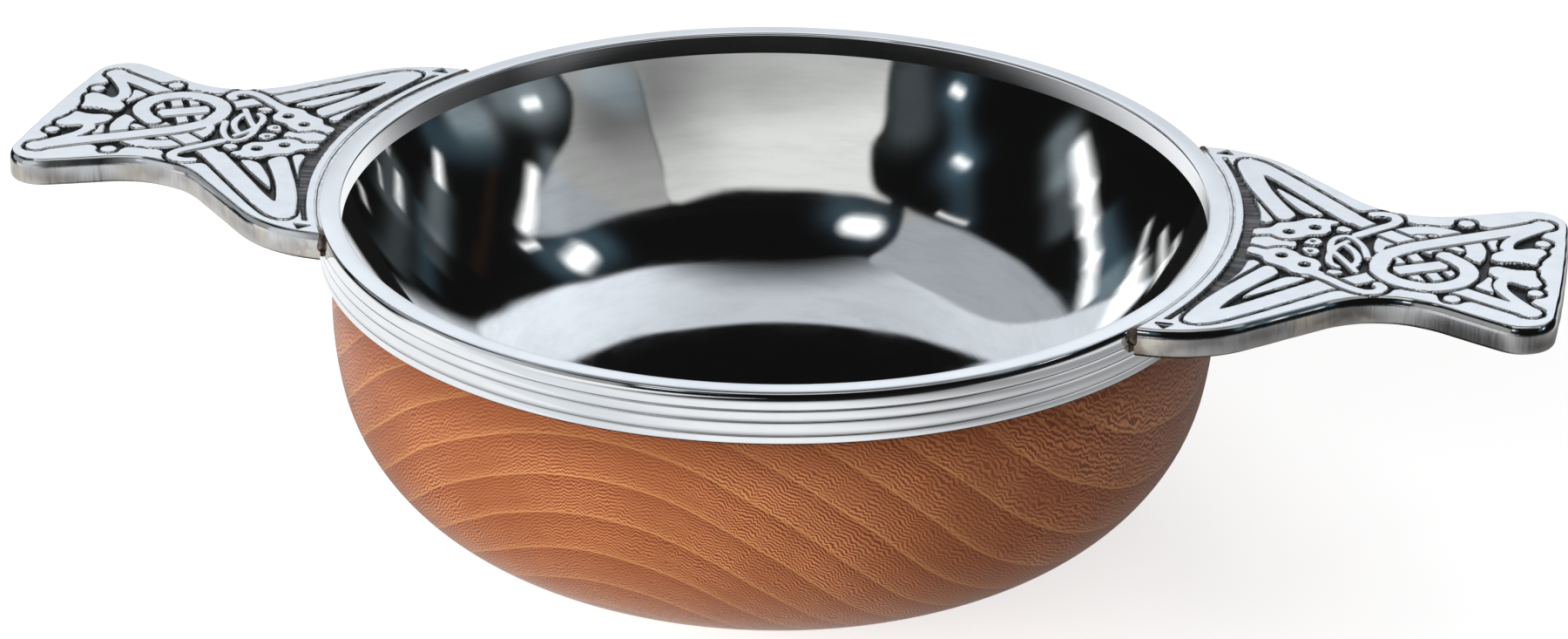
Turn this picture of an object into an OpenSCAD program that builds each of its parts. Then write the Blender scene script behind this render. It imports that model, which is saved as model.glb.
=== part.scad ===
// Quaich: a turned wooden drinking cup with a pewter liner, a reeded pewter rim and two cast lugs.
// Millimetres. The origin is the middle of the base, +X runs out along one lug and +Z is up.

/* [Cup] */
// Height from the table to the top of the rim
cup_height = 50; // [47:0.5:54]

/* [Rim ring] */
// Outside diameter of the rim ring
ring_diameter = 115; // [105:1:125]
// Width of the flat top of the rim ring
ring_width = 3.2; // [2.8:0.1:3.8]
// Height of the ring on its outside
ring_height = 6.7; // [6.3:0.1:8]
// Height of the ring's inner lip, from the top to the edge of the liner
ring_lip = 3.3; // [2.8:0.1:3.8]
// Thickness of the ring's skirt, round the top of the wood
ring_skirt = 1.6; // [1.4:0.1:1.8]
// Rounding of the ring's outer top edge
ring_edge = 0.9; // [0.5:0.1:1.2]
// Rounding of the ring's inner top edge
ring_inner_edge = 0.5; // [0.3:0.1:0.8]
// How far below the top each turned line of the ring lies
ring_lines = [2.4, 3.8, 5.6]; // [1.5:0.1:6]
// Half width of a turned line
line_size = 0.26; // [0.15:0.01:0.35]

/* [Wooden bowl] */
// How far the ring stands out past the widest part of the wood
ring_overhang = 1.3; // [1:0.1:1.6]
// How far below the rim the wood is widest
widest_drop = 14.3; // [12:0.1:17]
// Radius of the side's gentle curve
side_radius = 48; // [44:1:56]
// Turn of the side's curve below the widest line, in degrees
side_turn = 10; // [6:1:14]
// Radius of the curve between side and underside
knuckle_radius = 23.2; // [21:0.2:25]
// Slope of the underside above the table, in degrees
underside_slope = 27.5; // [25:0.5:30]
// Height of the turned spigot that the ring fits over
spigot_height = 1.5; // [1:0.1:2]
// Clearance between the spigot and the ring's skirt
spigot_clearance = 0.05; // [0.02:0.01:0.1]

/* [Liner] */
// Depth of the cup inside, from the rim to the bottom of the liner
liner_depth = 34; // [28:0.5:36]
// Thickness of the spun liner
liner_wall = 0.9; // [0.7:0.1:1.1]
// How far the liner's wall steps back behind the ring's lip
lip_step = 0.3; // [0.1:0.05:0.4]
// Thickness of the cement between liner and wood
cement_gap = 0.4; // [0.2:0.1:0.8]

/* [Lugs] */
// Thickness of a cast lug
lug_thickness = 3; // [2.6:0.1:4]
// How far the top of a lug lies below the top of the rim
lug_drop = 0.1; // [0:0.05:0.4]
// How far a lug reaches out from the ring
lug_reach = 40.9; // [40.2:0.1:44]
// Half width of a lug where it meets the ring
root_half = 28.5; // [28:0.1:31]
// How far out from the ring the flare's two straights meet
flare_out = 0.8; // [0:0.1:2]
// How far out from the ring the waist's two straights meet
waist_out = 19.8; // [19:0.1:21]
// Half width at which the waist's two straights meet
waist_half = 10.5; // [10.2:0.1:12]
// Half width of the tip, up to its unrounded corner
tip_half = 20; // [19:0.1:22]
// How far the middle of the tip stands out past its corners
tip_bow = 0.4; // [0:0.1:1]
// Radius of the flare at the root
root_radius = 16.6; // [12:0.2:18]
// Radius of the waist
waist_radius = 11.8; // [9:0.2:13]
// Radius of the corners of the tip
tip_radius = 4.5; // [3.5:0.1:5]
// Rounding of the polished top edge
lug_edge = 0.7; // [0.4:0.1:0.8]
// Rounding of the lower edge
lug_lower_edge = 0.4; // [0.2:0.1:0.6]
// Thickness of the solder between a lug and the ring
solder_gap = 0.4; // [0.2:0.1:0.6]

/* [Ornament] */
// Depth of the blackened ground between the strands
relief_depth = 0.6; // [0.3:0.1:1]
// Width of the groove round a strand
groove = 0.55; // [0.45:0.05:0.65]
// Width of the plain border along the root
root_border = 1.35; // [1.1:0.05:1.6]

/* [Hidden] */
$fn = 128;
past = 1;                                        // how far a cutter runs past what it cuts
corner_steps = 6;                                // chords in a rounded corner
knuckle_steps = 18;                              // chords in the curve between side and underside
side_steps = 8;                                  // chords in the side's curve
disc_steps = 14;                                 // sides of a pellet or an eye
span_steps = 3;                                  // chords between two points of a strand
round_steps = [0:25:75];                         // where the rounding of a top edge is taken, in degrees
ring_radius = ring_diameter / 2;
ring_inner = ring_radius - ring_width;
skirt_inner = ring_radius - ring_skirt;
ring_low = cup_height - ring_height;
lip_low = cup_height - ring_lip;
lip_radius = ring_inner + lip_step;
bowl_rise = liner_depth - ring_lip;
bowl_radius = (pow(lip_radius, 2) + pow(bowl_rise, 2)) / (2 * bowl_rise);
bowl_centre = cup_height - liner_depth + bowl_radius;
wood_radius = ring_radius - ring_overhang;
wood_top = ring_low + spigot_height;
side_centre = [wood_radius - side_radius, cup_height - widest_drop];
knuckle_centre = side_centre + (side_radius - knuckle_radius) * [cos(side_turn), -sin(side_turn)];
knuckle_end = knuckle_centre + knuckle_radius * [sin(underside_slope), -cos(underside_slope)];
base_radius = knuckle_end.x - knuckle_end.y / tan(underside_slope);
lug_top = cup_height - lug_drop;
pewter = [0.78, 0.79, 0.81];
wood_tone = [0.66, 0.33, 0.12];

function unit(v) = v / norm(v);
function arc(centre, r, from, to, steps) =
    [for (i = [0:steps]) let (a = from + (to - from) * i / steps) centre + r * [cos(a), sin(a)]];
function mirrored(points) = [for (i = [len(points) - 1:-1:0]) [points[i].x, -points[i].y]];

// Corner b of a path a, b, c, rounded to radius r
function rounded(a, b, c, r) =
    let (u = unit(a - b), w = unit(c - b), half = acos(u * w) / 2,
         m = b + unit(u + w) * r / sin(half),
         s = b + u * r / tan(half) - m,
         e = b + w * r / tan(half) - m,
         from = atan2(s.y, s.x),
         turn = (atan2(e.y, e.x) - from + 540) % 360 - 180)
    arc(m, r, from, from + turn, corner_steps);

// Outline of a lug seen from above, from the ring's axis side round the tip, x counted from the ring
root_start = [-12, root_half];
lug_corners = [
    root_start,
    [flare_out, root_half],
    [waist_out, waist_half],
    [lug_reach - tip_bow, tip_half],
    [lug_reach, 0]];
lug_half = concat(
    [root_start],
    rounded(lug_corners[0], lug_corners[1], lug_corners[2], root_radius),
    rounded(lug_corners[1], lug_corners[2], lug_corners[3], waist_radius),
    rounded(lug_corners[2], lug_corners[3], lug_corners[4], tip_radius));
lug_outline = concat(lug_half, [[lug_reach, 0]], mirrored(lug_half));

function inset_loop(points, inset) =
    let (n = len(points))
    [for (i = [0:n - 1])
        let (along = unit(points[(i + 1) % n] - points[(i + n - 1) % n]))
        points[i] + inset * [along.y, -along.x]];

// Smooth curve through hand-picked points
function smooth(points) =
    let (n = len(points))
    concat(
        [for (i = [0:n - 2], k = [0:span_steps - 1])
            let (t = k / span_steps,
                 p0 = points[max(i - 1, 0)], p1 = points[i],
                 p2 = points[i + 1], p3 = points[min(i + 2, n - 1)])
            0.5 * (2 * p1 + (p2 - p0) * t + (2 * p0 - 5 * p1 + 4 * p2 - p3) * t * t
                   + (3 * p1 - p0 - 3 * p2 + p3) * t * t * t)],
        [points[n - 1]]);

function beside(path, shift) =
    let (n = len(path))
    [for (i = [0:n - 1])
        let (along = unit(path[min(i + 1, n - 1)] - path[max(i - 1, 0)]))
        path[i] + shift * [-along.y, along.x]];

function backwards(list) = [for (i = [len(list) - 1:-1:0]) list[i]];

module strand(width, path) {
    polygon(concat(beside(path, width / 2), backwards(beside(path, -width / 2))));
}

// The two grooves where a strand passes over others
module overpass(width, path) {
    difference() {
        strand(width + 2 * groove, path);
        strand(width, path);
    }
}

module both_sides() {
    children();
    mirror([0, 1]) children();
}

// Turned bodies
module rim_ring() {
    top = cup_height;
    color(pewter)
        rotate_extrude()
            difference() {
                polygon(concat(
                    [[skirt_inner, ring_low], [ring_radius, ring_low]],
                    arc([ring_radius - ring_edge, top - ring_edge], ring_edge, 0, 90, corner_steps),
                    arc([ring_inner + ring_inner_edge, top - ring_inner_edge], ring_inner_edge,
                        90, 180, corner_steps),
                    [[ring_inner, lip_low], [skirt_inner, lip_low]]));
                for (drop = ring_lines)
                    translate([ring_radius, top - drop])
                        circle(line_size, $fn = 24);
            }
}

module wooden_bowl() {
    color(wood_tone)
        rotate_extrude()
            difference() {
                polygon(concat(
                    [[0, 0], [base_radius, 0]],
                    arc(knuckle_centre, knuckle_radius, underside_slope - 90, -side_turn, knuckle_steps),
                    arc(side_centre, side_radius, -side_turn,
                        asin((ring_low - side_centre.y) / side_radius), side_steps),
                    [[skirt_inner - spigot_clearance, ring_low],
                     [skirt_inner - spigot_clearance, wood_top], [0, wood_top]]));
                liner_disc(liner_wall + cement_gap);
            }
}

// Right half of the liner's ball, grown by a thickness
module liner_disc(extra) {
    intersection() {
        translate([0, bowl_centre])
            circle(bowl_radius + extra);
        translate([0, bowl_centre - bowl_radius - extra])
            square([ring_radius, bowl_radius + extra]);
    }
}

module bowl_liner() {
    color(pewter)
        rotate_extrude()
            intersection() {
                difference() {
                    liner_disc(liner_wall);
                    liner_disc(0);
                }
                square([skirt_inner - spigot_clearance, lip_low]);
            }
}

module liner_cement() {
    color("dimgray")
        rotate_extrude()
            intersection() {
                difference() {
                    liner_disc(liner_wall + cement_gap);
                    liner_disc(liner_wall);
                }
                square([skirt_inner - spigot_clearance, wood_top]);
            }
}

// Cast lugs
module lug_blank() {
    rounds = [for (a = round_steps) [lug_edge * (sin(a) - 1), lug_edge * (1 - cos(a))]];
    feet = [for (a = [0:45:90]) [lug_lower_edge * (1 - cos(a)), lug_lower_edge * (1 - sin(a))]];
    levels = concat(
        [for (f = feet) [f[0] - lug_thickness, f[1]]],
        rounds,
        [[past, rounds[len(rounds) - 1][1]]]);
    n = len(lug_outline);
    last = len(levels) - 1;
    tip = len(lug_half);
    points = [for (l = levels, p = inset_loop(lug_outline, l[1])) [p.x, p.y, l[0]]];
    sides = [for (k = [0:last - 1], i = [0:n - 1]) let (j = (i + 1) % n)
        [k * n + i, k * n + j, (k + 1) * n + j, (k + 1) * n + i]];
    caps = [for (k = [0, last], i = [0:tip - 1])
        let (across = [i, i + 1, n - 2 - i, n - 1 - i])
        [for (c = k == 0 ? backwards(across) : across) k * n + c]];
    polyhedron(points, concat(caps, sides), convexity = 8);
}

module lug() {
    color(pewter)
        difference() {
            difference() {
                translate([ring_radius, 0, lug_top])
                    lug_blank();
                translate([0, 0, lug_top])
                    cylinder(r = 2 * ring_diameter, h = 2 * past);
                translate([0, 0, lug_top - lug_thickness - past])
                    cylinder(r = ring_radius + solder_gap, h = lug_thickness + 3 * past);
            }
            translate([ring_radius, 0, lug_top - relief_depth])
                linear_extrude(relief_depth + past)
                    ornament_ground();
        }
}

module right_lug() {
    lug();
}

module left_lug() {
    rotate(180)
        lug();
}

module solder() {
    top = cup_height - ring_edge;
    low = lug_top - lug_thickness + lug_lower_edge;
    color("rosybrown")
        translate([0, 0, low])
            linear_extrude(top - low)
                intersection() {
                    difference() {
                        circle(ring_radius + solder_gap);
                        circle(ring_radius);
                    }
                    translate([ring_radius / 2, -root_half + lug_edge])
                        square([ring_radius, 2 * (root_half - lug_edge)]);
                }
}

module right_solder() {
    solder();
}

module left_solder() {
    rotate(180)
        solder();
}

// Ornament of a lug: two beasts whose limbs run through a ring and out to the tip.
// Points are millimetres out from the ring and across the lug.
limb_outline = [
    [15.9, 9.8], [12.5, 13.4], [7.5, 18.7], [4, 22.3], [1.5, 24.6], [-0.5, 25.5], [-1.8, 25.1],
    [-2.1, 23.8], [-1.4, 21.3], [-0.2, 17.9], [1.3, 14.6], [3.4, 10.6], [5.3, 7], [6.5, 7.2],
    [7.4, 8.9], [5.5, 12], [3.5, 15.7], [2.2, 19], [1.6, 20.9], [3.8, 18.8], [7.7, 14.4],
    [11.9, 9.8], [13.9, 7.6]];
leaf_outline = [[3.6, 17.3], [4.9, 14.2], [7.9, 9.9], [9.4, 9.4], [10.9, 9.7], [7.5, 13.4]];
claw_outline = [
    [1.4, 13.3], [2.7, 9.8], [3.1, 7.2], [3.1, 6.2], [3.8, 5.7], [4.6, 6.2], [4.7, 6.9],
    [3.4, 9.4], [2.3, 11.6]];
head_outline = [
    [2.7, 1.9], [2.6, 3.6], [4.6, 4.3], [5.3, 6.1], [6.5, 6.5], [7.7, 7.1], [8.7, 8.3], [10.5, 8.6],
    [12.7, 8.2], [12.7, 7.5], [11.7, 6.8], [12.1, 5.3], [11.4, 3.8], [9.4, 3.2], [8.7, 2.2],
    [7.1, 1.25], [5.7, 1.6], [4.9, 2.4], [3.7, 1.9]];
tongue_half = [[2.8, 1], [3.8, 1.3], [4.9, 1.7], [5.8, 1], [7, 0.65], [8.3, 1]];
nose_outline = [[9.1, 0.6], [9.4, 1.6], [10, 2.5], [11, 2.3], [11.4, 1.5], [11.1, 0.6], [10.1, 0.35]];
far_scale = [[12.6, 6.4], [13.3, 7], [14.6, 6.2], [14.4, 5.3], [13.2, 5.1], [12.6, 5.6]];
near_scale = [[12.9, -6.4], [14.4, -6.3], [14.9, -7], [13.7, -7.8], [12.8, -7.3]];
tuft_outline = [
    [31.8, 3], [31.7, 1.2], [32.8, 0.55], [35, 1.25], [37.4, 0.7], [37.4, 2.4], [38.4, 4.6],
    [37.8, 5.8], [36.3, 5.7], [34.8, 4.9], [33.5, 4.6]];
far_wedge = [[30.9, 6.6], [32.3, 7.4], [32.1, 5.8], [32.4, 4.2], [31.8, 3.9], [31.4, 5.2]];
near_wedge = [[30.3, -7.3], [33, -8.6], [32.3, -6.2], [32.4, -4.2], [31.8, -3.9], [31.3, -5.4]];
pip_outline = [[-4.6, 26.5], [-3.4, 26.5], [-3.9, 27.3]];
pocket_half = [[-7.5, 25], [-3.5, 25], [0.5, 16], [4, 6]];

band = 2.4;
ring_band = 2.3;
hook_band = 1.45;
knot_band = 0.9;
finger_band = 1.6;
limb_round = 0.9;
limb_to_ring = smooth([
    [12.8, 11.2], [15.6, 8.4], [19.9, 5.15], [23.5, 2.9], [26.5, 0.9], [28.7, -1.2], [29.6, -3.6],
    [28.8, -6.3], [26.5, -8.2], [24.2, -8.65], [21.1, -7.8], [19.2, -5.7], [18.75, -3.2], [19.3, -0.6]]);
ring_to_tip = smooth([[18.75, -3.2], [19.3, -0.6], [21.8, 2.3], [25.5, 4.9], [33.5, 10.1], [37.2, 12.8]]);
limb_to_bar = smooth([[12.5, -11.6], [16.7, -8.5], [20.7, -5], [26.6, -1.6]]);
tip_limb = [[28.2, -8.4], [37.2, -12.9]];
far_hook = smooth([
    [15.3, 4.6], [17.3, 6.9], [19.1, 8.8], [19.7, 10.3], [19.1, 11.5], [17.7, 11.8], [16.2, 11.3]]);
near_hook = smooth([
    [10.8, -7.6], [13.3, -9.1], [15.5, -10.8], [17.6, -11.75], [19.2, -11.4], [19.75, -10.1],
    [18.9, -8.9]]);
finger = smooth([[37.4, 12.3], [35.2, 9.6], [33.8, 7.4], [33.4, 5.4], [34.1, 4]]);
knot = [
    [[12.6, -1], [12.4, 1.5], [12.9, 3.2], [14.1, 4], [15.3, 3.1], [16.5, 1], [17.2, -1.6]],
    [[14.3, 2.4], [13.2, 0.4], [12.6, -2.2], [13, -4.3], [13.9, -5.3]],
    [[13.2, -1.3], [14.1, -2.6], [15.2, -4.4], [16.2, -6.1]],
    [[14.4, 1.2], [15.4, -0.2], [16.1, -2.2], [15.9, -4.6]]];
back_ring = arc([24.35, 2.55], 5.6, -25, 205, 18);
cross_bars = [
    [1.2, [[22.7, 5.9], [27.9, 3.1]]],
    [1.5, [[22.4, 0.3], [26, -6.2]]],
    [1.3, [[20.7, -1.5], [23.9, -7]]],
    [1.2, [[26.4, -2.6], [27.9, -4.9]]]];
pellets = [[1.05, [28.1, 11.3]], [0.95, [37.65, 7.35]]];
lobe = [1.45, [37.3, 12.85]];
eyes = [[0.72, [7, 3.6]], [0.75, [10, 5.65]], [0.32, [10.2, 1.5]]];

module discs(list) {
    for (d = list)
        translate(d[1])
            circle(d[0], $fn = disc_steps);
}

module strands() {
    difference() {
        union() {
            strand(band, limb_to_ring);
            strand(band, limb_to_bar);
            strand(band, back_ring);
            for (b = cross_bars)
                strand(b[0], b[1]);
            strand(ring_band, tip_limb);
        }
        overpass(ring_band, smooth([
            [26, 1.25], [28.7, -1.2], [29.6, -3.6], [28.8, -6.3], [26.5, -8.2], [24.2, -8.65],
            [21.1, -7.8], [19.2, -5.7], [18.75, -3.2], [19, -1.8]]));
        overpass(band, [[20.4, 0.9], [22.5, 2.9], [25.5, 4.9], [30.5, 8.2]]);
        overpass(band, [[17.9, 6.6], [19.9, 5.15], [22.2, 3.7]]);
        overpass(band, [[20.9, -4.85], [26.4, -1.75]]);
        overpass(hook_band, far_hook);
    }
    strand(band, ring_to_tip);
    strand(hook_band, far_hook);
    difference() {
        both_sides() {
            offset(r = limb_round, $fn = 20)
                offset(delta = -limb_round)
                    polygon(limb_outline);
            polygon(leaf_outline);
            polygon(claw_outline);
        }
        overpass(hook_band, far_hook);
        overpass(hook_band, near_hook);
    }
    strand(hook_band, near_hook);
    both_sides() {
        polygon(head_outline);
        polygon(nose_outline);
        polygon(tuft_outline);
        strand(finger_band, finger);
        discs(pellets);
        discs([lobe]);
    }
    polygon(concat(tongue_half, mirrored(tongue_half)));
    for (outline = [far_scale, near_scale, far_wedge, near_wedge])
        polygon(outline);
    for (path = knot)
        strand(knot_band, smooth(path));
}

module ornament_field() {
    fill = 1;
    offset(delta = -fill)
        offset(delta = groove + fill)
            strands();
    difference() {
        polygon(concat(pocket_half, mirrored(pocket_half)));
        translate([-ring_radius, 0])
            circle(ring_radius + root_border);
    }
}

module ornament_ground() {
    soften = 0.1;
    offset(delta = soften)
        offset(delta = -soften) {
            difference() {
                ornament_field();
                strands();
            }
            both_sides() {
                discs(eyes);
                polygon(pip_outline);
            }
        }
}

wooden_bowl();
bowl_liner();
liner_cement();
rim_ring();
right_lug();
left_lug();
right_solder();
left_solder();
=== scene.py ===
"""A quaich: turned wooden bowl, spun pewter liner, reeded rim ring and two cast lugs with beast interlace."""
from math import acos, asin, atan2, cos, degrees, pi, radians, sin, tan

import bpy
import numpy as np
from mathutils import Matrix, Vector, noise


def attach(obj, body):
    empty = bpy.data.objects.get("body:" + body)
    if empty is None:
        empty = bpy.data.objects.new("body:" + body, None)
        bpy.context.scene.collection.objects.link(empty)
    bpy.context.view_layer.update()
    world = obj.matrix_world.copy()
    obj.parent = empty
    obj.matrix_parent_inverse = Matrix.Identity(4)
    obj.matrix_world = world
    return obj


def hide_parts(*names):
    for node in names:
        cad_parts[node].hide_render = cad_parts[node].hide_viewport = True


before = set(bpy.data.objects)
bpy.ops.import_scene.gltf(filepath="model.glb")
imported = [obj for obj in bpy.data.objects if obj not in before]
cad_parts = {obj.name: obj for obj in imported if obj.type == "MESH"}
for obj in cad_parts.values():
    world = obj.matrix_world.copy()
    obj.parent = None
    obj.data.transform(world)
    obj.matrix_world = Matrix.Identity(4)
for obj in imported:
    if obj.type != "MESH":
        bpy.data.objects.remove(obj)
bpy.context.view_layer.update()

# Sizes shared by several pieces, mm and degrees
MM = 0.001
RIM_TOP = 50.0            # height of the cup above the table
RING_RADIUS = 57.5
RING_TOP = 49.65          # the ring's flat lies a little below the tops of the lugs
RING_LOW = 43.3
SKIRT_INNER = 55.9        # inside of the ring where it covers the wood
LIP_LOW = 46.7            # where liner and ring meet
LINER_DEPTH = 34.0
LINER_LIP = 54.6
LINER_RISE = LINER_DEPTH - (RIM_TOP - LIP_LOW)
LINER_RADIUS = (LINER_LIP ** 2 + LINER_RISE ** 2) / (2 * LINER_RISE)
LINER_CENTRE = RIM_TOP - LINER_DEPTH + LINER_RADIUS
LUG_TOP = 49.9
LUG_THICK = 3.6
LUG_TIP = 40.9            # from the ring to the end of a lug
LUG_ROOT = RING_RADIUS + 0.4
LUG_RISE = 0.7            # each lug rises this much towards its tip
VIEW_TURN = radians(13.89)       # how far the photograph's view stands round from square on
SQUARE_ON = (0, 0, -VIEW_TURN)


# Plain helpers

def smoothstep(low, high, value):
    t = np.clip((value - low) / (high - low), 0, 1)
    return t * t * (3 - 2 * t)


def on_circle(centre, radius, angle):
    return centre[0] + radius * cos(radians(angle)), centre[1] + radius * sin(radians(angle))


def arc(centre, radius, start, end, steps):
    """Points (r, z) on an arc, angles in degrees."""
    return [on_circle(centre, radius, angle) for angle in np.linspace(start, end, steps + 1)]


def angle_at(level, centre, radius):
    """Angle, in degrees, at which a circle round the given height reaches a level."""
    return degrees(asin((level - centre) / radius))


def turn_about_axis(angle, size=4):
    return Matrix.Rotation(angle, size, "Z")


# Modelling helpers

def deselect_all():
    for piece in bpy.context.selected_objects:
        piece.select_set(False)


def pick(piece, *others):
    deselect_all()
    for wanted in (piece, *others):
        wanted.select_set(True)
    bpy.context.view_layer.objects.active = piece


def mode(name):
    bpy.ops.object.mode_set(mode=name)


def select(action="SELECT"):
    bpy.ops.mesh.select_all(action=action)


def new_object(name, data):
    thing = bpy.data.objects.new(name, data)
    bpy.context.collection.objects.link(thing)
    return thing


def new_piece(name, corners, edges=(), faces=()):
    mesh = bpy.data.meshes.new(name)
    mesh.from_pydata(corners, edges, faces)
    return new_object(name, mesh)


def built_in(add, **settings):
    """Adds one of the built-in shapes while nothing is selected."""
    deselect_all()
    add(**settings)
    return bpy.context.object


def edit_all(piece):
    pick(piece)
    mode("EDIT")
    select()


def face_outward():
    """Points all faces outward and leaves edit mode."""
    select()
    bpy.ops.mesh.normals_make_consistent(inside=False)
    mode("OBJECT")


def extrude_up(height):
    bpy.ops.mesh.extrude_region_move(TRANSFORM_OT_translate={"value": (0, 0, height * MM)})


def spin(steps, angle):
    """Spins what is selected round the cup's axis and selects the result."""
    bpy.ops.mesh.spin(steps=steps, angle=angle, center=(0, 0, 0), axis=(0, 0, 1))
    select()


def cut(piece, operation, tool):
    """Cuts a piece with a tool and puts the tool away."""
    pick(piece)
    modifier = piece.modifiers.new("cut", "BOOLEAN")
    modifier.operation, modifier.solver, modifier.object = operation, "MANIFOLD", tool
    bpy.ops.object.modifier_apply(modifier=modifier.name)
    bpy.data.objects.remove(tool)


def vertex_places(mesh):
    places = np.empty(len(mesh.vertices) * 3)
    mesh.vertices.foreach_get("co", places)
    return places.reshape(-1, 3)


def finish_piece(piece, node, material, smooth=30):
    pick(piece)
    bpy.ops.object.shade_smooth_by_angle(angle=radians(smooth))
    piece.data.materials.clear()
    piece.data.materials.append(material)
    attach(piece, "root")
    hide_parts(node)


def turned(name, section, steps):
    """Spins a closed half section, points (r, z) in mm, round the cup's axis."""
    corners = [(r * MM, 0.0, z * MM) for r, z in section]
    piece = new_piece(name, corners, [(i, (i + 1) % len(corners)) for i in range(len(corners))])
    edit_all(piece)
    spin(steps, 2 * pi)
    bpy.ops.mesh.remove_doubles(threshold=2e-6)
    bpy.ops.mesh.delete_loose()
    face_outward()
    piece.visible_glossy = False   # the polished inside shows the room once, not itself again and again
    return piece


# Node helpers

class Wires:
    """Shorthand for adding and joining shader nodes. Colours are written without alpha."""

    def __init__(self, tree):
        self.tree = tree

    def join(self, source, target):
        if isinstance(source, tuple) and target.type == "RGBA":
            target.default_value = (*source, 1)
        elif isinstance(source, (int, float, tuple)):
            target.default_value = source
        else:
            self.tree.links.new(source, target)

    def feed(self, node, **values):
        """Joins values to the sockets of these names, with _ for a space."""
        for key, value in values.items():
            self.join(value, node.inputs[key.replace("_", " ")])
        return node.outputs

    def fill(self, node, *values):
        """Joins values to the sockets in their order."""
        for value, socket in zip(values, node.inputs):
            self.join(value, socket)
        return node.outputs[0]

    def add(self, kind, **settings):
        node = self.tree.nodes.new(kind)
        for key, value in settings.items():
            setattr(node, key, value)
        return node

    def place(self):
        return self.add("ShaderNodeTexCoord").outputs["Object"]

    def attribute(self, name):
        return self.add("ShaderNodeAttribute", attribute_name=name).outputs

    def math(self, operation, *values, clamp=False):
        return self.fill(self.add("ShaderNodeMath", operation=operation, use_clamp=clamp), *values)

    def times(self, a, b):
        return self.math("MULTIPLY", a, b)

    def scaled(self, value, scale, start):
        return self.math("MULTIPLY_ADD", value, scale, start)

    def vector(self, operation, *values):
        node = self.add("ShaderNodeVectorMath", operation=operation)
        self.fill(node, *values)
        return node.outputs["Value" if operation == "LENGTH" else "Vector"]

    def split(self, vector):
        return self.feed(self.add("ShaderNodeSeparateXYZ"), Vector=vector)

    def combine(self, *parts):
        return self.fill(self.add("ShaderNodeCombineXYZ"), *parts)

    def from_axis(self, place):
        return self.vector("LENGTH", self.vector("MULTIPLY", place, (1, 1, 0)))

    def noise(self, vector, scale, detail=2.0, rough=0.5, lean=0.0):
        node = self.add("ShaderNodeTexNoise")
        self.feed(node, Vector=vector, Scale=scale, Detail=detail, Roughness=rough, Distortion=lean)
        return node.outputs["Fac"]

    def span(self, value, low, high, to_low=0.0, to_high=1.0):
        """Goes softly from to_low to to_high while the value goes from low to high."""
        node = self.add("ShaderNodeMapRange", interpolation_type="SMOOTHSTEP")
        return self.feed(node, Value=value, From_Min=low, From_Max=high, To_Min=to_low, To_Max=to_high)[0]

    def fall(self, value, low, high):
        return self.span(value, low, high, 1.0, 0.0)

    def mix(self, fac, a, b, blend="MIX"):
        node = self.add("ShaderNodeMix", data_type="RGBA", blend_type=blend)
        self.feed(node, Factor=fac)
        for value, socket in zip((a, b), node.inputs[6:8]):
            self.join(value, socket)
        return node.outputs[2]

    def mapping(self, vector, scale=(1, 1, 1), turn=(0, 0, 0), move=(0, 0, 0)):
        node = self.add("ShaderNodeMapping")
        return self.feed(node, Vector=vector, Scale=scale, Rotation=turn, Location=move)[0]

    def group(self, group, **values):
        return self.feed(self.add("ShaderNodeGroup", node_tree=group), **values)

    def bump(self, surface, height, strength, distance):
        node = self.add("ShaderNodeBump")
        self.feed(surface, Normal=self.feed(node, Height=height, Strength=strength, Distance=distance)[0])

    def emission(self, **values):
        return self.feed(self.add("ShaderNodeEmission"), **values)[0]

    def show(self, shader):
        self.feed(self.add("ShaderNodeOutputMaterial"), Surface=shader)


def mask_group(name, settings, masks):
    """A node group that reads a place and some settings and gives out masks."""
    group = bpy.data.node_groups.new(name, "ShaderNodeTree")
    group.interface.new_socket("Place", in_out="INPUT", socket_type="NodeSocketVector")
    for label, value in settings.items():
        group.interface.new_socket(label, in_out="INPUT", socket_type="NodeSocketFloat").default_value = value
    for label in masks:
        group.interface.new_socket(label, in_out="OUTPUT", socket_type="NodeSocketFloat")
    return Wires(group), group.nodes.new("NodeGroupInput").outputs, group.nodes.new("NodeGroupOutput")


def bare_material(name):
    material = bpy.data.materials.new(name)
    material.use_nodes = True
    material.node_tree.nodes.clear()
    return material, Wires(material.node_tree)


def new_material(name):
    material, w = bare_material(name)
    surface = w.add("ShaderNodeBsdfPrincipled")
    w.show(surface.outputs[0])
    return material, w, surface, w.place()


# Finishes

def lathe_marks_group():
    """Fine rings left by turning and polishing, from the distance to the cup's axis and the height."""
    w, given, out = mask_group("lathe_marks", {"Rings per m": 2500.0}, ("Marks", "Smears", "Streaks"))
    place = given["Place"]
    x, y, z = w.split(place)
    radius = w.from_axis(place)
    round_way = [w.times(w.math("DIVIDE", part, radius), 2.2) for part in (x, y)]
    inward = w.times(w.math("ADD", radius, z), 170.0)
    w.feed(out, Marks=w.noise(w.combine(radius, z), given["Rings per m"], 3.0, 0.6),
           Smears=w.noise(w.mapping(place, (1, 1, 3)), 60.0, 4.0, 0.6, 0.4),
           Streaks=w.noise(w.combine(*round_way, inward), 1.6, 5.0, 0.62))
    return w.tree


def liner_finish(marks):
    material, w, surface, place = new_material("polished_liner")
    bright, dull = (0.83, 0.84, 0.845), (0.75, 0.76, 0.765)
    found = w.group(marks, Place=place, Rings_per_m=1800.0)
    worn = w.span(found["Streaks"], 0.38, 0.72)
    w.feed(surface, Metallic=1.0, Base_Color=w.mix(worn, bright, dull),
           Roughness=w.scaled(worn, 0.035, w.scaled(found["Smears"], 0.03, 0.02)))
    upper_wall = w.span(w.split(place)["Z"], 0.020, 0.036, 0.15, 1.0)
    waver = w.times(w.noise(place, 100.0, 1.0, 0.4), upper_wall)
    w.bump(surface, w.scaled(found["Marks"], 0.01, waver), 1.0, 0.00006)
    return material


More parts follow.
